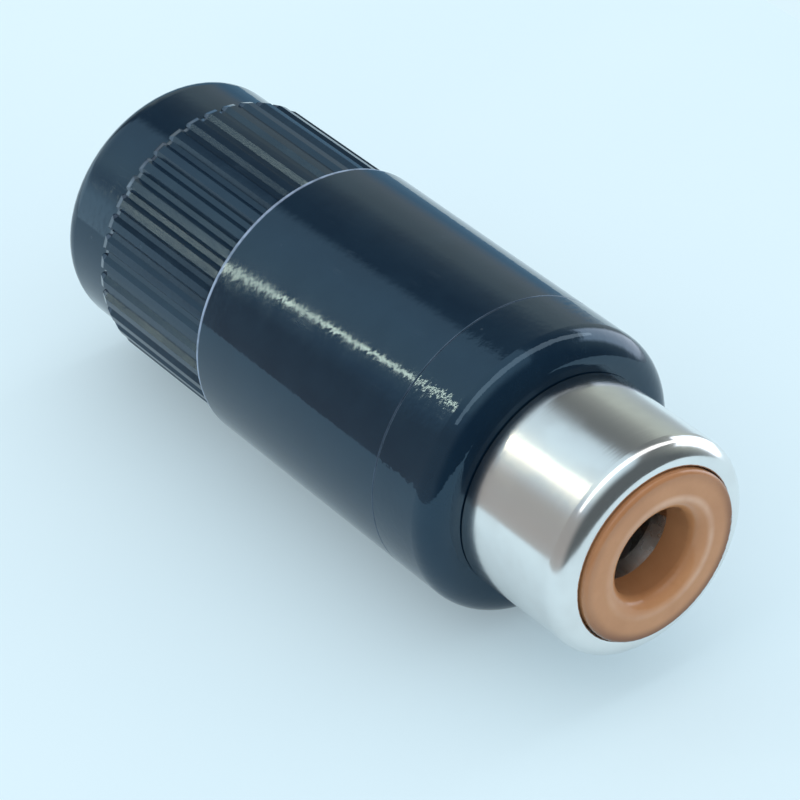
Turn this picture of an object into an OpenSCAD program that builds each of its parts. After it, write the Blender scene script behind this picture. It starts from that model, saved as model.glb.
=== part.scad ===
// Inline phono socket for a coaxial audio lead: a plated outer contact barrel with a split
// centre contact, carried by a black bush, under a screw-on cover with a ribbed cable end.
// The part stands on its cable end. +Z runs along the axis, out of the socket's mouth.

/* [Cover] */
// Outside diameter of the smooth barrel of the cover, and of the collar that continues it
cover_d = 10.9; // [10.4:0.1:12.5]
// Length of the smooth barrel, from the grip to the seam
smooth_len = 10.2; // [9:0.1:14]
// Length of the ribbed grip
grip_len = 6.2; // [4:0.1:9]
// Length of the plain nose behind the grip
nose_len = 2.8; // [2:0.1:4]
// Rounding of the nose's rear edge
nose_round = 0.8; // [0.3:0.05:1]
// Thickness of the wall around the cable hole
rear_wall = 1.8; // [1:0.1:2.2]
// Diameter of the cable hole
cable_hole_d = 5; // [3:0.1:5.5]
// Bevel around the outer end of the cable hole
cable_bevel = 0.3; // [0.1:0.05:0.5]
// Wall of the cover around its threaded bore
cover_wall = 0.7; // [0.6:0.05:0.8]
// Step in from the threaded bore to the wiring space
bore_step = 0.4; // [0.3:0.05:0.5]
// Clear length of the cover's threaded bore behind the collar's spigot
bore_run = 0.6; // [0.3:0.1:1.5]
// Rounding of the smooth barrel's rear edge
edge_round = 0.18; // [0.05:0.01:0.2]
// Rounding of the edge on each side of the seam
seam_round = 0.04; // [0.03:0.01:0.15]

/* [Grip ribs] */
// Number of ribs around the grip
rib_count = 40; // [24:1:48]
// Step down from the smooth barrel to the rib tops
rib_drop = 0.2; // [0.1:0.05:0.3]
// Height of the rib tops above the nose
rib_h = 0.275; // [0.15:0.025:0.35]
// Width of a rib's top
rib_top_w = 0.28; // [0.16:0.02:0.4]
// Depth of the grooves between the ribs
groove_depth = 0.17; // [0.1:0.01:0.25]
// Width of a groove at its floor
groove_floor_w = 0.2; // [0.06:0.02:0.26]
// Length of the slope at the grip's rear end, where ribs and grooves come down to the nose
rib_slope_len = 0.28; // [0.14:0.02:0.6]
// Drop of that slope
rib_slope_drop = 0.1; // [0.05:0.01:0.14]

/* [Collar] */
// Length of the collar's head, from the seam to its front face
collar_len = 3.1; // [2.2:0.1:4]
// Rounding of the collar's front edge
collar_round = 1; // [0.3:0.05:1.1]
// Length of the threaded spigot inside the cover
spigot_len = 4.8; // [4:0.1:5.2]
// Width of the thread relief behind the head
relief_w = 0.7; // [0.4:0.1:1]
// Depth of the thread relief below the thread roots
relief_depth = 0.2; // [0.1:0.05:0.3]
// Bevel at the spigot's rear end
spigot_bevel = 0.3; // [0.1:0.05:0.5]

/* [Barrel] */
// Outside diameter of the outer contact, which a plug's sleeve grips
barrel_d = 8.3; // [8.1:0.05:8.4]
// Reach of the barrel in front of the collar
barrel_reach = 5.05; // [4.5:0.05:8]
// Wall of the barrel around the insulator
barrel_wall = 0.5; // [0.4:0.05:0.7]
// Width of the lip's flat front edge, inside its large rounding
lip_flat = 0.1; // [0.1:0.01:0.25]
// Rounding of the lip's inner edge
lip_inner_round = 0.08; // [0.03:0.01:0.1]
// Thickness of the lip along the axis
lip_t = 0.75; // [0.4:0.05:1]
// Reach of the lip inwards over the insulator
lip_hold = 0.35; // [0.25:0.05:0.5]
// Step in from the barrel to the locating neck in the collar's front seat
neck_step = 0.2; // [0.1:0.05:0.3]
// Depth of that seat
seat_depth = 1.2; // [0.8:0.1:1.6]
// Height of the dark groove between the collar's face and the barrel
base_groove = 0.05; // [0.02:0.01:0.2]
// Thickness of the barrel's inner shoulder
shoulder_t = 0.8; // [0.5:0.1:1.2]
// Wall of the shank through the collar
shank_wall = 0.35; // [0.25:0.05:0.4]
// Overhang of the staked rim behind the ground lug
stake_out = 0.3; // [0.2:0.05:0.35]
// Thickness of the staked rim
stake_t = 0.35; // [0.25:0.05:0.5]

/* [Insulator] */
// Height of the insulator's face in front of the lip
face_proud = 0.25; // [0.1:0.01:0.3]
// Rounding of the face's outer edge
face_round = 0.15; // [0.03:0.01:0.2]
// Gap that the entry hole leaves around a plug's pin
entry_gap = 0.1; // [0.05:0.01:0.15]
// Rounding of the entry hole's edge
entry_round = 0.55; // [0.2:0.05:0.7]
// Wall of the insulator between the contact tube and the shank
sleeve_wall = 0.4; // [0.3:0.05:0.5]
// Length of insulator standing behind the staked rim
insulator_tail = 0.6; // [0.3:0.1:1]

/* [Centre contact] */
// Bore for a plug's centre pin
pin_bore_d = 3.2; // [3.18:0.01:3.3]
// Wall of the split tube
contact_wall = 0.3; // [0.2:0.02:0.34]
// Depth of the tube's front end below the insulator's face
contact_depth = 1.6; // [1:0.1:2.5]
// Length of the pin bore
pin_bore_len = 6.7; // [5:0.1:7.2]
// Widening of the pin bore's mouth, on the radius
pin_flare = 0.15; // [0.05:0.01:0.18]
// Length of that flare
pin_flare_len = 0.6; // [0.2:0.1:1]
// Thickness of the tube's closed end
contact_floor = 0.4; // [0.3:0.05:0.6]
// Width of the slots that let the tube spring
slot_w = 0.35; // [0.3:0.05:0.5]
// Length of those slots
slot_len = 4.4; // [3:0.1:4.8]
// Diameter of the stem through the insulator
stem_d = 2; // [1.6:0.05:2.1]
// Diameter of the solder bucket
bucket_d = 2.4; // [2.3:0.05:2.8]
// Length of the solder bucket
bucket_len = 3.6; // [3:0.1:4]
// Diameter of the bucket's bore
bucket_bore_d = 1.6; // [1.2:0.05:1.8]
// Depth of the bucket's bore
bucket_bore_len = 2.9; // [2:0.1:2.9]
// Length of the bucket's open side
bucket_open_len = 2.2; // [1:0.1:2.4]

/* [Ground lug] */
// Thickness of the lug's sheet
lug_t = 0.4; // [0.3:0.05:0.45]
// Distance of the lug's ring in from the spigot's edge
ring_inset = 0.6; // [0.5:0.05:0.8]
// Width of the lug's strip
strip_w = 2.4; // [2:0.1:2.6]
// Inside radius of the fold between ring and strip
fold_r = 0.2; // [0.1:0.05:0.25]
// Clear length of strip before it steps in towards the cable
leg_len = 3; // [2:0.1:3.6]
// Length of that step
step_len = 1.2; // [1:0.1:1.5]
// Diameter of the solder hole in the strip
lug_hole_d = 1.1; // [0.8:0.05:1.3]
// Bore of the cable clamp before it is closed
clamp_bore_d = 4.6; // [4:0.1:5]
// Width of the clamp along the cable
clamp_len = 2.2; // [1.5:0.1:2.4]
// Height of the clamp's ears above the cable's middle
ear_rise = 1.3; // [0.6:0.1:1.6]

/* [Fits] */
// Gap around pieces that are pressed or dropped into each other
seat_gap = 0.04; // [0.02:0.01:0.06]
// Gap between the lug and the cover that is drawn over it
cover_gap = 0.2; // [0.15:0.05:0.3]
// Room for the screw threads between the spigot and the cover
thread_room = 0.45; // [0.4:0.05:0.5]

/* [Hidden] */
$fn = 96;
// Overrun of cutting shapes past the faces that they cut
over = 0.2;

// Heights along the axis, from the cable end
z_grip = nose_len;
z_smooth = z_grip + grip_len;
z_seam = z_smooth + smooth_len;
z_face = z_seam + collar_len;
z_mouth = z_face + barrel_reach;
z_spigot = z_seam - spigot_len;
z_bore = z_spigot - bore_run;
z_seat = z_face - seat_depth;
z_lug = z_spigot - lug_t;
z_stake = z_lug - stake_t;
z_shoulder = z_seat + shoulder_t;
z_lip = z_mouth - lip_t;
z_insulator = z_mouth + face_proud;
z_insulator_end = z_stake - insulator_tail;
z_contact = z_insulator - contact_depth;
z_pin_end = z_contact - pin_bore_len;
z_tube = z_pin_end - contact_floor;
z_bucket = z_insulator_end - bucket_len;
z_leg_end = z_lug - fold_r - leg_len;
z_clamp_top = z_leg_end - step_len;
z_lug_end = z_clamp_top - clamp_len;

// Radii shared between features and pieces that fit together
rib_r = cover_d / 2 - rib_drop;
nose_r = rib_r - rib_h;
groove_r = rib_r - groove_depth;
groove_w = 2 * PI * rib_r / rib_count - rib_top_w;
cover_bore_r = cover_d / 2 - cover_wall;
cavity_r = cover_bore_r - bore_step;
spigot_r = cover_bore_r - thread_room;
tube_r = pin_bore_d / 2 + contact_wall;
entry_r = pin_bore_d / 2 + entry_gap;
shank_bore_r = tube_r + sleeve_wall + 2 * seat_gap;
shank_r = shank_bore_r + shank_wall;
shank_hole_r = shank_r + seat_gap;
stake_r = shank_r + stake_out;
neck_r = barrel_d / 2 - neck_step;
barrel_bore_r = barrel_d / 2 - barrel_wall;
lip_r = barrel_bore_r - lip_hold;
lip_round = barrel_wall + lip_hold - lip_flat;
strip_out = sqrt(pow(cavity_r - cover_gap, 2) - pow(strip_w / 2, 2));
fold_line = strip_out - lug_t - fold_r;
clamp_r = clamp_bore_d / 2;

// A ring's half section: r0 to r1 from the axis, z0 to z1 along it
module band(r0, r1, z0, z1) {
  translate([r0, z0]) square([r1 - r0, z1 - z0]);
}

// What a rounding takes off an outside corner at (r, z), with the body below it
module round_off(r, z, rad) {
  difference() {
    translate([r - rad, z - rad]) square(rad + over);
    translate([r - rad, z - rad]) circle(rad);
  }
}

// What a bevel takes off an outside corner at (r, z), with the body below it
module bevel_off(r, z, size) {
  polygon([[r - size, z], [r, z - size], [r + over, z - size], [r + over, z + over], [r - size, z + over]]);
}

// Turns a corner cut over, for a corner with the body above it
module from_below(z) {
  translate([0, z]) mirror([0, 1]) translate([0, -z]) children();
}

// Plain turned outline of the cover, without ribs
module cover_outline() {
  difference() {
    union() {
      band(0, nose_r, 0, z_smooth + over);
      band(0, cover_d / 2, z_smooth, z_seam);
    }
    from_below(0) round_off(nose_r, 0, nose_round);
    from_below(z_smooth) round_off(cover_d / 2, z_smooth, edge_round);
    round_off(cover_d / 2, z_seam, seam_round);
  }
}

// Hollow of the cover: cable hole, wiring space and threaded bore
module cover_hollow() {
  hole_r = cable_hole_d / 2;
  band(0, hole_r, -over, rear_wall + over);
  polygon([[0, -over], [hole_r + cable_bevel + over, -over], [hole_r, cable_bevel], [0, cable_bevel]]);
  band(0, cavity_r, rear_wall, z_bore + over);
  band(0, cover_bore_r, z_bore, z_seam + over);
}

// What the slope at the grip's rear end takes off at radius r, in half section
module slope_off(r) {
  run = rib_slope_len / rib_slope_drop;
  polygon([[r - rib_slope_drop, z_grip], [r + over, z_grip + (rib_slope_drop + over) * run],
    [r + over, z_grip - over], [r - rib_slope_drop, z_grip - over]]);
}

// Straight ribs with sloped flanks, whose tops and grooves slope down to the nose at the rear
module grip_ribs() {
  slope = (groove_w - groove_floor_w) / 2 / groove_depth;
  half_in = groove_floor_w / 2;
  half_out = groove_w / 2 + slope * over;
  difference() {
    translate([0, 0, z_grip]) linear_extrude(grip_len + over) difference() {
      circle(rib_r);
      for (i = [0 : rib_count - 1]) rotate((i + 0.5) * 360 / rib_count)
        polygon([[groove_r, -half_in], [rib_r + over, -half_out],
          [rib_r + over, half_out], [groove_r, half_in]]);
    }
    rotate_extrude() slope_off(rib_r);
    for (i = [0 : rib_count - 1]) rotate((i + 0.5) * 360 / rib_count)
      translate([0, half_in, 0]) rotate([90, 0, 0]) linear_extrude(groove_floor_w) slope_off(groove_r);
  }
}

// Screw-on cover: smooth barrel, ribbed grip and rounded nose in one moulding
module shell() {
  color("#17191d") difference() {
    union() {
      rotate_extrude() cover_outline();
      grip_ribs();
    }
    rotate_extrude() cover_hollow();
  }
}

// Black bush: a rounded head that shows, and a spigot that the cover screws on
module collar() {
  color("#1b1d21") rotate_extrude() difference() {
    union() {
      band(shank_hole_r, cover_d / 2, z_seam, z_face);
      band(shank_hole_r, spigot_r, z_spigot, z_seam + over);
    }
    band(spigot_r - relief_depth, cover_d, z_seam - relief_w, z_seam);
    round_off(cover_d / 2, z_face, collar_round);
    from_below(z_seam) round_off(cover_d / 2, z_seam, seam_round);
    from_below(z_spigot) bevel_off(spigot_r, z_spigot, spigot_bevel);
    band(0, neck_r + seat_gap, z_seat, z_face + over);
  }
}

// Plated outer contact: barrel with a rolled lip, shank and staked rear rim
module barrel() {
  color("#c9c8c2") rotate_extrude() difference() {
    union() {
      band(shank_bore_r, barrel_d / 2, z_face + base_groove, z_mouth);
      band(shank_bore_r, neck_r, z_seat, z_face + base_groove + over);
      band(shank_bore_r, shank_r, z_stake, z_seat + over);
      band(shank_bore_r, stake_r, z_stake, z_lug);
    }
    round_off(barrel_d / 2, z_mouth, lip_round);
    band(0, barrel_bore_r, z_shoulder, z_lip);
    band(0, lip_r, z_lip - over, z_mouth + over);
    translate([2 * lip_r, 0]) mirror([1, 0]) round_off(lip_r, z_mouth, lip_inner_round);
  }
}

// Moulded insulator, trapped between the barrel's shoulder and its lip; the contact goes in from behind
module insulator() {
  color("#b48a6a") rotate_extrude() difference() {
    union() {
      band(0, lip_r - seat_gap, z_lip - over, z_insulator);
      band(0, barrel_bore_r - seat_gap, z_shoulder, z_lip);
      band(0, shank_bore_r - seat_gap, z_insulator_end, z_shoulder + over);
    }
    round_off(lip_r - seat_gap, z_insulator, face_round);
    band(0, entry_r, z_contact - over, z_insulator + over);
    translate([2 * entry_r, 0]) mirror([1, 0]) round_off(entry_r, z_insulator, entry_round);
    band(0, tube_r + seat_gap, z_insulator_end - over, z_contact);
  }
}

// Centre contact: split spring tube, stem and half-open solder bucket
module centre_contact() {
  pin_r = pin_bore_d / 2;
  color("#a7a9ad") difference() {
    rotate_extrude() difference() {
      union() {
        band(0, tube_r, z_tube, z_contact);
        band(0, stem_d / 2, z_insulator_end - over, z_tube + over);
        band(0, bucket_d / 2, z_bucket, z_insulator_end);
      }
      band(0, pin_r, z_pin_end, z_contact + over);
      polygon([[0, z_contact - pin_flare_len], [pin_r, z_contact - pin_flare_len],
        [pin_r + pin_flare, z_contact], [pin_r + pin_flare, z_contact + over], [0, z_contact + over]]);
      band(0, bucket_bore_d / 2, z_bucket - over, z_bucket + bucket_bore_len);
    }
    translate([-slot_w / 2, -tube_r - over, z_contact - slot_len])
      cube([slot_w, 2 * (tube_r + over), slot_len + over]);
    translate([-bucket_d, 0, z_bucket - over])
      cube([2 * bucket_d, bucket_d, bucket_open_len + over]);
  }
}

// Side view of the lug's strip: tab from the ring, fold, leg, step and foot in the clamp
module strip_side() {
  fold_z = z_lug - fold_r;
  translate([-fold_line, z_lug]) square(lug_t);
  intersection() {
    translate([-fold_line, fold_z]) difference() {
      circle(fold_r + lug_t);
      circle(fold_r);
    }
    translate([-fold_line - fold_r - lug_t, fold_z]) square(fold_r + lug_t);
  }
  translate([-strip_out, z_leg_end]) square([lug_t, fold_z - z_leg_end]);
  polygon([[-strip_out, z_leg_end], [-strip_out + lug_t, z_leg_end],
    [-clamp_r, z_clamp_top], [-clamp_r - lug_t, z_clamp_top]]);
  translate([-clamp_r - lug_t, z_clamp_top - lug_t]) square(lug_t);
}

// Cable clamp: a cradle with two ears to fold over the cable
module clamp() {
  outer_r = clamp_r + lug_t;
  translate([0, 0, z_lug_end]) linear_extrude(clamp_len) {
    difference() {
      circle(outer_r);
      circle(clamp_r);
      translate([-outer_r - over, 0]) square([2 * (outer_r + over), outer_r + over]);
    }
    for (side = [0, 1]) mirror([side, 0]) translate([clamp_r, 0]) square([lug_t, ear_rise]);
  }
}

// Ground lug: ring under the staked rim, strip with a solder hole, and cable clamp
module ground_lug() {
  color("#bdb9ae") {
    difference() {
      union() {
        translate([0, 0, z_lug]) linear_extrude(lug_t) difference() {
          circle(spigot_r - ring_inset);
          translate([-strip_w / 2 - lug_t, -fold_line - spigot_r]) square([strip_w + 2 * lug_t, spigot_r]);
        }
        rotate([90, 0, 90]) translate([0, 0, -strip_w / 2]) linear_extrude(strip_w) strip_side();
      }
      translate([0, 0, z_lug - over]) cylinder(r = shank_hole_r, h = lug_t + 2 * over);
      translate([0, -strip_out - over, (z_lug + z_leg_end) / 2]) rotate([-90, 0, 0])
        cylinder(d = lug_hole_d, h = lug_t + 2 * over);
    }
    clamp();
  }
}

shell();
collar();
barrel();
insulator();
centre_contact();
ground_lug();
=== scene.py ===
import math

import bmesh
import bpy
from mathutils import Matrix, Vector


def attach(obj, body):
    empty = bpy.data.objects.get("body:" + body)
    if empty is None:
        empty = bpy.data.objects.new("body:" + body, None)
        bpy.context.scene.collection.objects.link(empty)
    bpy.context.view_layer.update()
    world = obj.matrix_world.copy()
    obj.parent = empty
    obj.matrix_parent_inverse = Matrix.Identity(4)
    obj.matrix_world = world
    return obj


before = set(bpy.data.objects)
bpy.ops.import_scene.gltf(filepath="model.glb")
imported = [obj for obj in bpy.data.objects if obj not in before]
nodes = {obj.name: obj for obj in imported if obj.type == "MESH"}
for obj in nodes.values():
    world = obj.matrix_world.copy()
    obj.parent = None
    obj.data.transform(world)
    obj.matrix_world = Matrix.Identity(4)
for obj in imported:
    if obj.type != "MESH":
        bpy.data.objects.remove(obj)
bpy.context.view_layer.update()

MM = 0.001

# The socket lies on its side in the photograph, so the table stands upright beside the part here
TABLE_UP = Vector((-0.999892, 0.01466, 0))
TABLE_ALONG = Vector((0, 0, 1))
TABLE_ACROSS = TABLE_ALONG.cross(TABLE_UP)
COVER_RADIUS = 5.45 * MM

# Heights of the grip's two ends, and how much duller handling has made it
GRIP_START = 2.8 * MM
GRIP_END = 9.0 * MM
GRIP_FADE = 0.4 * MM
GRIP_WEAR = 0.12

# Edges of the black mouldings with painted highlight lines: heights from and to, and how pale
EDGE_HIGHLIGHTS = (
    (8.98 * MM, 9.25 * MM, 0.85),
    (2.82 * MM, 3.06 * MM, 0.15),
    (19.14 * MM, 19.25 * MM, 0.12),
)
EDGE_HIGHLIGHT_TONE = (0.33, 0.42, 0.58)

# Tones of the black mouldings
BLACK_DARK = (0.0025, 0.012, 0.028)
COVER_LIGHT = (0.0042, 0.016, 0.034)
BUSH_LIGHT = (0.0045, 0.0165, 0.034)
BLACK_SCUFF = (0.1, 0.14, 0.18)
BLACK_DUST = (0.2, 0.25, 0.3)
BLACK_GLOSS = (0.55, 0.8, 1.0, 1)

# Tones of the plated pieces and the insulator
NICKEL_CLEAN = (0.84, 0.835, 0.82)
NICKEL_SMUDGED = (0.78, 0.77, 0.755)
CONTACT_CLEAN = (0.8, 0.79, 0.78)
CONTACT_SMUDGED = (0.6, 0.59, 0.58)
TIN_BRIGHT = (0.72, 0.71, 0.67)
TIN_MATT = (0.58, 0.57, 0.54)
AMBER_DARK = (0.48, 0.227, 0.102)
AMBER_LIGHT = (0.54, 0.267, 0.125)
AMBER_DUST = (0.75, 0.5, 0.35)

# Radii of the insulator's face: the entry's edge, which carries a painted highlight ring, and the rim,
# which carries painted shade
ENTRY_EDGE = 2.25 * MM
ENTRY_HIGHLIGHT_WIDTH = 0.22 * MM
ENTRY_HIGHLIGHT_TONE = (0.8, 0.56, 0.42)
RIM_FROM = 2.75 * MM
RIM_TO = 3.2 * MM
RIM_SHADE_TONE = (0.16, 0.06, 0.025)

# Sides of the face where the painted highlight and the painted shade are strongest, where that fades in,
# and the least share of it
HIGHLIGHT_SIDE = (-0.56, 0.83, 0)
SHADE_SIDE = (0.9, 0.44, 0)
SIDE_FROM = -1.5 * MM
SIDE_TO = 2.0 * MM
SIDE_LEAST = 0.3

# Camera fitted to the photograph's circles and silhouettes
CAMERA_PLACE = Vector((-77.781, -64.762, 97.123)) * MM
CAMERA_RIGHT = Vector((0.0115, 0.78425, 0.62033))
CAMERA_UP = Vector((-0.79935, 0.37994, -0.46551))
CAMERA_LENS = 167.637
CAMERA_SENSOR = 36
CAMERA_CLIP = 5 * MM

# Screw thread between the collar's spigot and the cover, with steps in a turn
THREAD_PITCH = 1.0 * MM
THREAD_STEPS = 72

# Turns over which each end of a ridge runs out, and the share of its height that is left there
THREAD_RUNOUT = 0.22
THREAD_LEAST = 0.02

# Each ridge's radii at root and crest, start and turns of its helix, and widths at root and crest
SPIGOT_RIDGE = (4.28 * MM, 4.58 * MM, 15.15 * MM, 3.0, 0.62 * MM, 0.14 * MM)
BORE_RIDGE = (4.77 * MM, 4.62 * MM, 14.9 * MM, 3.6, 0.5 * MM, 0.16 * MM)


def add(tree, kind, inputs=None, **settings):
    """A shader node with its settings, and its inputs given as values or as other nodes' outputs."""
    made = tree.nodes.new(kind)
    for key, value in settings.items():
        setattr(made, key, value)
    for key, value in (inputs or {}).items():
        if isinstance(value, bpy.types.NodeSocket):
            tree.links.new(value, made.inputs[key])
        else:
            made.inputs[key].default_value = value
    return made


def maths(tree, operation, a, b=0.0, clamp=False):
    """Result of a Math node."""
    return add(tree, "ShaderNodeMath", {0: a, 1: b}, operation=operation, use_clamp=clamp).outputs[0]


def noise(tree, vector, scale, detail=2.0, rough=0.5):
    """Value of a noise texture."""
    made = add(tree, "ShaderNodeTexNoise",
               {"Vector": vector, "Scale": scale, "Detail": detail, "Roughness": rough})
    return made.outputs["Fac"]


def remap(tree, value, low, high, to_low=0.0, to_high=1.0, smooth=True):
    """Value moved from one range to another and held at its ends."""
    kind = "SMOOTHSTEP" if smooth else "LINEAR"
    made = add(tree, "ShaderNodeMapRange",
               {"Value": value, "From Min": low, "From Max": high, "To Min": to_low, "To Max": to_high},
               interpolation_type=kind)
    return made.outputs["Result"]


def fade_in_out(tree, value, limits):
    """One between the middle two of four limits, nothing outside the outer two."""
    rise = remap(tree, value, limits[0], limits[1])
    return maths(tree, "MULTIPLY", rise, remap(tree, value, limits[2], limits[3], 1.0, 0.0))


def along_axis(tree, vector, axis):
    """Length of the part of a vector that lies along an axis."""
    made = add(tree, "ShaderNodeVectorMath", {0: vector, 1: axis}, operation="DOT_PRODUCT")
    return made.outputs["Value"]


def rough_by(tree, mask, least, most):
    """Roughness that goes from least to most as the mask goes from nothing to one."""
    return remap(tree, mask, 0.0, 1.0, least, most, smooth=False)


def blend(tree, factor, first, second):
    """Colour between first and second."""
    made = add(tree, "ShaderNodeMix", data_type="RGBA")
    for socket, value in ((made.inputs[0], factor), (made.inputs[6], first), (made.inputs[7], second)):
        if isinstance(value, bpy.types.NodeSocket):
            tree.links.new(value, socket)
        elif isinstance(value, (int, float)):
            socket.default_value = value
        else:
            socket.default_value = (*value, 1)
    return made.outputs[2]


def new_group(name, inputs, outputs):
    """An empty node group with named sockets: its tree, its inputs and its output node."""
    tree = bpy.data.node_groups.new(name, "ShaderNodeTree")
    for label, kind, value in inputs:
        socket = tree.interface.new_socket(name=label, in_out="INPUT", socket_type=kind)
        if value is not None:
            socket.default_value = value
    for label in outputs:
        tree.interface.new_socket(name=label, in_out="OUTPUT", socket_type="NodeSocketFloat")
    entry = tree.nodes.new("NodeGroupInput")
    leave = tree.nodes.new("NodeGroupOutput")
    return tree, entry.outputs, leave.inputs


def moulded_skin():
    """Moulded plastic's skin: cloudy tone, fine ripple of the mould's polish, and dust."""
    tree, given, out = new_group(
        "moulded_skin",
        [("Vector", "NodeSocketVector", None), ("Cloud Scale", "NodeSocketFloat", 700.0),
         ("Ripple Scale", "NodeSocketFloat", 3500.0), ("Dust Scale", "NodeSocketFloat", 1700.0)],
        ["Cloud", "Ripple", "Dust"])
    cloud = noise(tree, given["Vector"], given["Cloud Scale"], 4.0, 0.6)
    ripple = noise(tree, given["Vector"], given["Ripple Scale"], 2.0, 0.45)
    cells = add(tree, "ShaderNodeTexVoronoi",
                {"Vector": given["Vector"], "Scale": given["Dust Scale"], "Randomness": 1.0})
    near = remap(tree, cells.outputs["Distance"], 0.05, 0.13, 1.0, 0.0)
    pick = add(tree, "ShaderNodeSeparateColor", {"Color": cells.outputs["Color"]})
    rare = remap(tree, pick.outputs[0], 0.93, 0.95)
    tree.links.new(remap(tree, cloud, 0.3, 0.7), out["Cloud"])
    tree.links.new(ripple, out["Ripple"])
    tree.links.new(maths(tree, "MULTIPLY", near, rare), out["Dust"])
    return tree


def handling_scuffs():
    """Fine hairline scratches in patches, in two directions."""
    tree, given, out = new_group(
        "handling_scuffs",
        [("Vector", "NodeSocketVector", None), ("Fineness", "NodeSocketFloat", 2600.0),
         ("Patch Scale", "NodeSocketFloat", 420.0), ("Width", "NodeSocketFloat", 0.012)],
        ["Scuffs"])
    lines = []
    for turn, squeeze in (((0.25, 0.1, 0.4), 0.07), ((-0.9, 0.5, 1.1), 0.05)):
        along = add(tree, "ShaderNodeMapping",
                    {"Vector": given["Vector"], "Rotation": turn, "Scale": (1.0, 1.0, squeeze)})
        streak = noise(tree, along.outputs[0], given["Fineness"], 1.0, 0.4)
        off = maths(tree, "ABSOLUTE", maths(tree, "SUBTRACT", streak, 0.5))
        share = maths(tree, "DIVIDE", off, given["Width"], clamp=True)
        lines.append(maths(tree, "SUBTRACT", 1.0, share, clamp=True))
    patch = remap(tree, noise(tree, given["Vector"], given["Patch Scale"], 3.0, 0.6), 0.52, 0.68)
    both = maths(tree, "MAXIMUM", lines[0], lines[1])
    tree.links.new(maths(tree, "MULTIPLY", both, patch), out["Scuffs"])
    return tree


def turned_rings():
    """Rings that a lathe or a rolling tool leaves around the axis, and hand smudges over them."""
    tree, given, out = new_group(
        "turned_rings",
        [("Vector", "NodeSocketVector", None), ("Ring Scale", "NodeSocketFloat", 9000.0),
         ("Smudge Scale", "NodeSocketFloat", 500.0)],
        ["Rings", "Smudge"])
    axes = add(tree, "ShaderNodeSeparateXYZ", {"Vector": given["Vector"]})
    rings = add(tree, "ShaderNodeTexNoise",
                {"W": maths(tree, "MULTIPLY", axes.outputs["Z"], given["Ring Scale"]), "Scale": 1.0,
                 "Detail": 3.0, "Roughness": 0.6}, noise_dimensions="1D")
    smudge = noise(tree, given["Vector"], given["Smudge Scale"], 3.0, 0.55)
    tree.links.new(rings.outputs["Fac"], out["Rings"])
    tree.links.new(remap(tree, smudge, 0.35, 0.7), out["Smudge"])
    return tree


SKIN = moulded_skin()
SCUFFS = handling_scuffs()
RINGS = turned_rings()


def place(tree, group, vector, **values):
    """A node group placed in a material with its own values; returns its outputs."""
    made = add(tree, "ShaderNodeGroup", node_tree=group)
    tree.links.new(vector, made.inputs["Vector"])
    for label, value in values.items():
        made.inputs[label.replace("_", " ")].default_value = value
    return made.outputs


def new_material(name):
    """An empty material: its tree, its Principled shader and its Object coordinates."""
    material = bpy.data.materials.new(name)
    material.use_nodes = True
    tree = material.node_tree
    shader = tree.nodes["Principled BSDF"]
    here = tree.nodes.new("ShaderNodeTexCoord").outputs["Object"]
    return material, tree, shader, here


def connect(tree, shader, **sockets):
    """Links values to the shader's sockets of those names."""
    for label, value in sockets.items():
        tree.links.new(value, shader.inputs[label.replace("_", " ")])


def bump(tree, height, depth):
    """Normal of a height field whose full swing is depth, in metres."""
    made = add(tree, "ShaderNodeBump", {"Height": height, "Strength": 1.0, "Distance": depth})
    return made.outputs["Normal"]


def black_moulding(name, dark, light, ripple_scale, ripple_depth, wave_depth, wave_scale, cloud_scale):
    """Glossy black plastic: slightly uneven polish, painted highlight lines on edges, duller grip, hairline
    scuffs and dust.
    """
    material, tree, shader, here = new_material(name)
    skin = place(tree, SKIN, here, Cloud_Scale=cloud_scale, Ripple_Scale=ripple_scale)
    scuffs = place(tree, SCUFFS, here)["Scuffs"]
    tone = blend(tree, skin["Cloud"], dark, light)
    scuffed_and_highlit = blend(tree, maths(tree, "MULTIPLY", scuffs, 0.05), tone, BLACK_SCUFF)
    height_on_axis = add(tree, "ShaderNodeSeparateXYZ", {"Vector": here}).outputs["Z"]
    uneven = remap(tree, noise(tree, here, 1500.0, 2.0, 0.6), 0.25, 0.6, 0.35, 1.0)
    # Painted highlight lines along the listed edges, made patchy by noise
    for low, high, share in EDGE_HIGHLIGHTS:
        fade = (high - low) / 4
        edge = fade_in_out(tree, height_on_axis, (low, low + fade, high - fade, high))
        painted_highlight = maths(tree, "MULTIPLY", edge, share)
        scuffed_and_highlit = blend(tree, maths(tree, "MULTIPLY", painted_highlight, uneven), scuffed_and_highlit, EDGE_HIGHLIGHT_TONE)
    dusty = blend(tree, maths(tree, "MULTIPLY", skin["Dust"], 0.12), scuffed_and_highlit, BLACK_DUST)
    rough = rough_by(tree, skin["Cloud"], 0.04, 0.075)
    rough = maths(tree, "ADD", rough, maths(tree, "MULTIPLY", scuffs, 0.08))
    grip = fade_in_out(
        tree, height_on_axis, (GRIP_START, GRIP_START + GRIP_FADE, GRIP_END - GRIP_FADE, GRIP_END))
    rough = maths(tree, "ADD", rough, maths(tree, "MULTIPLY", grip, GRIP_WEAR))
    wave = noise(tree, here, wave_scale, 1.0, 0.4)
    height = maths(tree, "ADD", maths(tree, "MULTIPLY", skin["Ripple"], ripple_depth / wave_depth), wave)
    connect(tree, shader, Base_Color=dusty, Roughness=rough, Normal=bump(tree, height, wave_depth))
    shader.inputs["Specular IOR Level"].default_value = 0.75
    shader.inputs["Specular Tint"].default_value = BLACK_GLOSS
    return material


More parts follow.
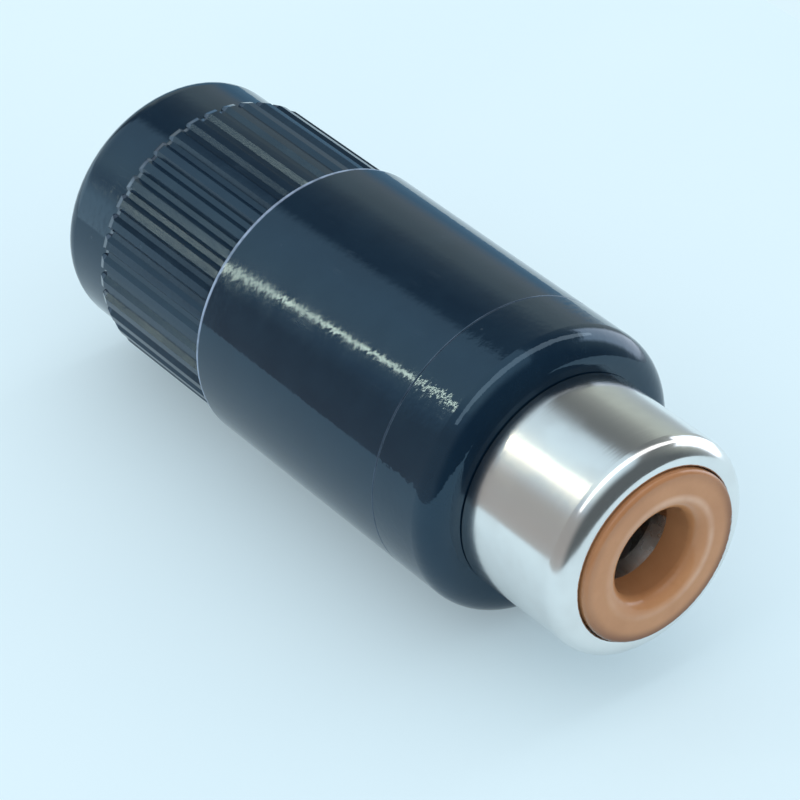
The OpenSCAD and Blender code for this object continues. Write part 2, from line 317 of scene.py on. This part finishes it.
def nickel_plate(name):
    """Bright nickel with faint turning rings and hand smudges."""
    material, tree, shader, here = new_material(name)
    rings = place(tree, RINGS, here)
    scuffs = place(tree, SCUFFS, here, Fineness=3400.0, Width=0.01)["Scuffs"]
    tone = blend(tree, rings["Smudge"], NICKEL_CLEAN, NICKEL_SMUDGED)
    rough = rough_by(tree, rings["Smudge"], 0.13, 0.19)
    rough = maths(tree, "ADD", rough, maths(tree, "MULTIPLY", scuffs, 0.05))
    connect(tree, shader, Base_Color=tone, Roughness=rough, Normal=bump(tree, rings["Rings"], 0.8e-6))
    shader.inputs["Metallic"].default_value = 1.0
    return material


def amber_moulding(name):
    """Satin orange-brown insulator with faint flow clouds, a painted highlight ring on the entry edge and
    painted shade at the rim.
    """
    material, tree, shader, here = new_material(name)
    skin = place(tree, SKIN, here, Cloud_Scale=520.0, Ripple_Scale=5200.0, Dust_Scale=2300.0)
    tone = blend(tree, skin["Cloud"], AMBER_DARK, AMBER_LIGHT)
    flat = add(tree, "ShaderNodeVectorMath", {0: here, 1: (1, 1, 0)}, operation="MULTIPLY").outputs[0]
    radius = add(tree, "ShaderNodeVectorMath", {0: flat}, operation="LENGTH").outputs["Value"]
    edge_off = maths(tree, "ABSOLUTE", maths(tree, "SUBTRACT", radius, ENTRY_EDGE))
    highlight_side_share, shade_side_share = (
        remap(tree, along_axis(tree, here, side), SIDE_FROM, SIDE_TO, SIDE_LEAST, 1.0)
        for side in (HIGHLIGHT_SIDE, SHADE_SIDE))
    patchy = remap(tree, noise(tree, here, 900.0, 2.0, 0.5), 0.3, 0.65, 0.4, 1.0)
    # Painted highlight ring on the entry's edge, patchy and stronger on one side
    painted_highlight = maths(tree, "MULTIPLY", remap(tree, edge_off, 0.0, ENTRY_HIGHLIGHT_WIDTH, 0.5, 0.0), patchy)
    tone = blend(tree, maths(tree, "MULTIPLY", painted_highlight, highlight_side_share), tone, ENTRY_HIGHLIGHT_TONE)
    # Painted shade at the rim, stronger on one side
    painted_shade = maths(tree, "MULTIPLY", remap(tree, radius, RIM_FROM, RIM_TO, 0.0, 0.95), shade_side_share)
    tone = blend(tree, painted_shade, tone, RIM_SHADE_TONE)
    dusty = blend(tree, maths(tree, "MULTIPLY", skin["Dust"], 0.1), tone, AMBER_DUST)
    rough = rough_by(tree, skin["Cloud"], 0.15, 0.22)
    connect(tree, shader, Base_Color=dusty, Roughness=rough, Normal=bump(tree, skin["Ripple"], 1.5e-6))
    shader.inputs["Specular IOR Level"].default_value = 0.45
    return material


def plated_contact(name):
    """Dulled nickel plate of the split tube and its solder bucket."""
    material, tree, shader, here = new_material(name)
    rings = place(tree, RINGS, here, Ring_Scale=7000.0, Smudge_Scale=900.0)
    tone = blend(tree, rings["Smudge"], CONTACT_CLEAN, CONTACT_SMUDGED)
    rough = rough_by(tree, rings["Smudge"], 0.2, 0.38)
    connect(tree, shader, Base_Color=tone, Roughness=rough, Normal=bump(tree, rings["Rings"], 1.5e-6))
    shader.inputs["Metallic"].default_value = 1.0
    return material


def tinned_sheet(name):
    """Tinned sheet metal with rolling grain and matt clouds."""
    material, tree, shader, here = new_material(name)
    grain = add(tree, "ShaderNodeMapping", {"Vector": here, "Scale": (1.0, 1.0, 0.06)})
    streak = noise(tree, grain.outputs[0], 9000.0, 3.0, 0.6)
    scuffs = place(tree, SCUFFS, here, Fineness=4200.0, Patch_Scale=700.0)["Scuffs"]
    cloud = remap(tree, noise(tree, here, 800.0, 4.0, 0.6), 0.3, 0.7)
    tone = blend(tree, cloud, TIN_BRIGHT, TIN_MATT)
    rough = rough_by(tree, cloud, 0.26, 0.42)
    rough = maths(tree, "ADD", rough, maths(tree, "MULTIPLY", scuffs, 0.1))
    connect(tree, shader, Base_Color=tone, Roughness=rough, Normal=bump(tree, streak, 2e-6))
    shader.inputs["Metallic"].default_value = 1.0
    return material


COVER_BLACK = black_moulding(
    "cover_black", BLACK_DARK, COVER_LIGHT, ripple_scale=4200.0, ripple_depth=1.8e-6,
    wave_depth=1.5e-6, wave_scale=500.0, cloud_scale=700.0)
BUSH_BLACK = black_moulding(
    "bush_black", BLACK_DARK, BUSH_LIGHT, ripple_scale=3900.0, ripple_depth=5e-6,
    wave_depth=2e-6, wave_scale=900.0, cloud_scale=520.0)
FINISHES = {
    "shell": COVER_BLACK,
    "collar": BUSH_BLACK,
    "barrel": nickel_plate("barrel_nickel"),
    "insulator": amber_moulding("insulator_amber"),
    "centre_contact": plated_contact("contact_plate"),
    "ground_lug": tinned_sheet("lug_tin"),
}
for node_name, finish in FINISHES.items():
    nodes[node_name].data.materials.clear()
    nodes[node_name].data.materials.append(finish)


def finish_piece(bm, name, material, body):
    """Turns a bmesh into a piece of the socket that rides on a body."""
    mesh = bpy.data.meshes.new(name)
    bm.to_mesh(mesh)
    bm.free()
    mesh.materials.append(material)
    piece = bpy.data.objects.new(name, mesh)
    bpy.context.scene.collection.objects.link(piece)
    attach(piece, body)


def thread_ridge(root, crest, start, turns, root_width, crest_width):
    """Helical thread ridge with its ends run out: four-sided sections, joined along the helix."""
    bm = bmesh.new()
    corners = ((root, -root_width / 2), (crest, -crest_width / 2),
               (crest, crest_width / 2), (root, root_width / 2))
    steps = round(turns * THREAD_STEPS)
    sections = []
    for step in range(steps + 1):
        turn = turns * step / steps
        angle = 2 * math.pi * turn
        section = []
        for radius, rise in corners:
            run = turn + rise / THREAD_PITCH
            share = min(1, max(THREAD_LEAST, min(run, turns - run) / THREAD_RUNOUT))
            reach = root + (radius - root) * share
            section.append(bm.verts.new(
                (reach * math.cos(angle), reach * math.sin(angle), start + turn * THREAD_PITCH + rise)))
        sections.append(section)
    for near, far in zip(sections, sections[1:]):
        for i in range(len(corners)):
            bm.faces.new((near[i - 1], near[i], far[i], far[i - 1]))
    bm.faces.new(sections[0])
    bm.faces.new(sections[-1])
    bmesh.ops.recalc_face_normals(bm, faces=bm.faces[:])
    return bm


finish_piece(thread_ridge(*SPIGOT_RIDGE), "spigot_thread", BUSH_BLACK, "core")
finish_piece(thread_ridge(*BORE_RIDGE), "bore_thread", COVER_BLACK, "cover")

# Pale background, and the paper's two tones with the share of that background in them
PALE_BACKGROUND = (0.74, 0.92, 1.0)
PAPER_DARK = (0.66, 0.835, 0.925)
PAPER_LIGHT = (0.68, 0.85, 0.935)
PAPER_GLOW = 0.3

# How far the paper goes from the socket's axis and cable end, each way
PAPER_BACK = 300 * MM
PAPER_FRONT = 65 * MM
PAPER_BEHIND = 34 * MM
PAPER_EDGE = 28 * MM


def table_paper():
    """Pale paper that keeps the socket's shadow. Its back lets a view from behind through."""
    material, tree, shader, here = new_material("table_paper")
    fibre = noise(tree, here, 60.0, 3.0, 0.5)
    tone = blend(tree, remap(tree, fibre, 0.3, 0.7), PAPER_DARK, PAPER_LIGHT)
    connect(tree, shader, Base_Color=tone)
    shader.inputs["Roughness"].default_value = 0.9
    shader.inputs["Specular IOR Level"].default_value = 0.1
    path = add(tree, "ShaderNodeLightPath").outputs
    seen = maths(tree, "MAXIMUM", path["Is Camera Ray"], path["Is Glossy Ray"])
    glow = add(tree, "ShaderNodeEmission", {"Color": (*PALE_BACKGROUND, 1), "Strength": 1.0}).outputs[0]
    lit = add(tree, "ShaderNodeMixShader",
              {0: maths(tree, "MULTIPLY", seen, PAPER_GLOW), 1: shader.outputs[0], 2: glow}).outputs[0]
    back = add(tree, "ShaderNodeNewGeometry").outputs["Backfacing"]
    clear = tree.nodes.new("ShaderNodeBsdfTransparent").outputs[0]
    mixed = add(tree, "ShaderNodeMixShader", {0: back, 1: lit, 2: clear}).outputs[0]
    tree.links.new(mixed, tree.nodes["Material Output"].inputs["Surface"])
    return material


def lay_table():
    """The sheet of paper under the socket's side, with one edge near it."""
    bm = bmesh.new()
    bmesh.ops.create_grid(bm, x_segments=1, y_segments=1, size=1)
    half = ((PAPER_EDGE + PAPER_BEHIND) / 2, (PAPER_BACK + PAPER_FRONT) / 2, 1)
    middle = ((PAPER_EDGE - PAPER_BEHIND) / 2, (PAPER_BACK - PAPER_FRONT) / 2, 0)
    bmesh.ops.scale(bm, verts=bm.verts[:], vec=half)
    bmesh.ops.translate(bm, verts=bm.verts[:], vec=middle)
    turn = Matrix((TABLE_ACROSS, -TABLE_ALONG, TABLE_UP)).transposed().to_4x4()
    bmesh.ops.transform(bm, matrix=Matrix.Translation(-TABLE_UP * COVER_RADIUS) @ turn, verts=bm.verts[:])
    bmesh.ops.recalc_face_normals(bm, faces=bm.faces[:])
    bm.faces.ensure_lookup_table()
    if bm.faces[0].normal.dot(TABLE_UP) < 0:
        bmesh.ops.reverse_faces(bm, faces=bm.faces[:])
    mesh = bpy.data.meshes.new("table")
    bm.to_mesh(mesh)
    bm.free()
    mesh.materials.append(table_paper())
    table = bpy.data.objects.new("table", mesh)
    bpy.context.scene.collection.objects.link(table)


lay_table()

# Room around the table as gloss shows it, by the angle from straight up towards the paper's near edge
ROOM_BANDS = (
    (-180, (0.66, 0.86, 0.97)),
    (-112, (0.66, 0.86, 0.97)),
    (-100, (0.58, 0.72, 0.8)),
    (-86, (0.42, 0.49, 0.52)),
    (-74, (0.46, 0.53, 0.52)),
    (-56, (0.48, 0.54, 0.5)),
    (-44, (0.28, 0.31, 0.3)),
    (-34, (0.2, 0.225, 0.225)),
    (-24, (0.15, 0.17, 0.175)),
    (-10, (0.15, 0.17, 0.18)),
    (-3, (0.6, 0.76, 0.86)),
    (15, (0.7, 0.89, 1.0)),
    (40, (0.78, 0.95, 1.0)),
    (58, (0.44, 0.54, 0.62)),
    (70, (0.35, 0.36, 0.36)),
    (100, (0.38, 0.375, 0.37)),
    (180, (0.6, 0.74, 0.82)),
)
# The bands lean by this many degrees each way between two shares along the axis
ROOM_LEAN = 12
ROOM_LEAN_FROM = -0.72
ROOM_LEAN_TO = -0.56
# Beyond the mouth the room is dark, from one share along the axis to another
FRONT_DARK = (0.1, 0.12, 0.13)
FRONT_FROM = 0.25
FRONT_TO = 0.75
# Patches of the room, the last one a window: shares along the axis and angles between which each shows
ROOM_PATCHES = (
    ((-2.0, -1.5, -0.705, -0.672), (52, 74, 200, 210), (1.15, 1.45, 1.6)),
    ((-2.0, -1.5, -0.622, -0.6), (-210, -200, -96, -80), (0.19, 0.36, 0.52)),
    ((-0.45, -0.3, 0.2, 0.4), (-95, -88, -48, -43), (2.0, 2.2, 2.5)),
)
SOFT_LIGHT = (0.86, 0.88, 0.9)


def light_room():
    """World: plain soft light, a pale background, and the room's bands where gloss reflects it."""
    world = bpy.data.worlds.new("room")
    bpy.context.scene.world = world
    world.use_nodes = True
    tree = world.node_tree
    tree.nodes.clear()
    toward = add(tree, "ShaderNodeTexCoord").outputs["Generated"]
    across, up, along = (
        along_axis(tree, toward, axis) for axis in (TABLE_ACROSS, TABLE_UP, TABLE_ALONG))
    angle = maths(tree, "ARCTAN2", across, up)
    most = math.radians(ROOM_LEAN)
    lean = remap(tree, along, ROOM_LEAN_FROM, ROOM_LEAN_TO, -most, most, smooth=False)
    turned = maths(tree, "ADD", angle, lean)
    share = remap(tree, turned, -math.pi, math.pi, smooth=False)
    ramp = add(tree, "ShaderNodeValToRGB", {"Fac": share})
    stops = ramp.color_ramp.elements
    while len(stops) < len(ROOM_BANDS):
        stops.new(0.5)
    for stop, (degrees, colour) in zip(stops, ROOM_BANDS):
        stop.position = (degrees + 180) / 360
        stop.color = (*colour, 1)
    front = remap(tree, along, FRONT_FROM, FRONT_TO)
    shown = blend(tree, front, ramp.outputs["Color"], FRONT_DARK)
    for shares, angles, colour in ROOM_PATCHES:
        sweep = fade_in_out(tree, turned, [math.radians(degrees) for degrees in angles])
        patch = maths(tree, "MULTIPLY", fade_in_out(tree, along, shares), sweep)
        shown = blend(tree, patch, shown, colour)
    path = add(tree, "ShaderNodeLightPath").outputs
    seen = blend(tree, path["Is Glossy Ray"], SOFT_LIGHT, shown)
    direct = maths(tree, "MAXIMUM", path["Is Camera Ray"], path["Is Transmission Ray"])
    colour = blend(tree, direct, seen, PALE_BACKGROUND)
    sky = add(tree, "ShaderNodeBackground", {"Color": colour, "Strength": 1.0})
    out = tree.nodes.new("ShaderNodeOutputWorld")
    tree.links.new(sky.outputs[0], out.inputs["Surface"])


def room_direction(along, degrees):
    """Direction with a share along the axis, turned by degrees from up towards the paper's near edge."""
    turn = math.radians(degrees)
    side = math.cos(turn) * TABLE_UP + math.sin(turn) * TABLE_ACROSS
    return along * TABLE_ALONG + math.sqrt(1 - along * along) * side


def area_lamp(name, place_at, look_at, edge, size, power, colour):
    """Rectangular lamp: edge gives the direction of its long side."""
    lamp = bpy.data.lights.new(name, "AREA")
    lamp.shape = "RECTANGLE"
    lamp.size, lamp.size_y = size
    lamp.energy = power
    lamp.color = colour
    back = (place_at - look_at).normalized()
    long_side = (edge - edge.dot(back) * back).normalized()
    held = bpy.data.objects.new(name, lamp)
    held.matrix_world = Matrix.Translation(place_at) @ Matrix(
        (long_side, back.cross(long_side), back)).transposed().to_4x4()
    bpy.context.scene.collection.objects.link(held)


light_room()

# Middle of the socket, which the lamps stand around
MIDDLE = Vector((0, 0, 14.4 * MM))

# Warm tube lamp that streaks the cover: its directions are shares along the axis and degrees
TUBE_REAR = (-0.702, 61)
TUBE_MIDDLE = (-0.636, 46)
TUBE_FRONT = (-0.56, 28)
TUBE_FAR = 0.45
TUBE_SIZE = (0.34, 0.006)
TUBE_POWER = 0.085
TUBE_TONE = (1.0, 0.9, 0.64)

# Strip lamp over the table for the soft shadow
STRIP_HEIGHT = 0.3
STRIP_SIDE = 0.15
STRIP_SIZE = (1.0, 0.1)
STRIP_POWER = 0.45
STRIP_TONE = (1.0, 1.0, 1.0)

area_lamp("tube_lamp", MIDDLE + room_direction(*TUBE_MIDDLE) * TUBE_FAR, MIDDLE,
          room_direction(*TUBE_FRONT) - room_direction(*TUBE_REAR), TUBE_SIZE, TUBE_POWER, TUBE_TONE)
strip_foot = MIDDLE - STRIP_SIDE * TABLE_ACROSS
area_lamp("ceiling_strip", strip_foot + STRIP_HEIGHT * TABLE_UP, strip_foot, TABLE_ACROSS,
          STRIP_SIZE, STRIP_POWER, STRIP_TONE)

camera_data = bpy.data.cameras.new("camera")
camera_data.lens = CAMERA_LENS
camera_data.sensor_width = CAMERA_SENSOR
camera_data.clip_start = CAMERA_CLIP
camera = bpy.data.objects.new("camera", camera_data)
camera.matrix_world = Matrix.Translation(CAMERA_PLACE) @ Matrix(
    (CAMERA_RIGHT, CAMERA_UP, CAMERA_RIGHT.cross(CAMERA_UP))).transposed().to_4x4()
bpy.context.scene.collection.objects.link(camera)
bpy.context.scene.camera = camera

bpy.context.scene.view_settings.view_transform = "Standard"
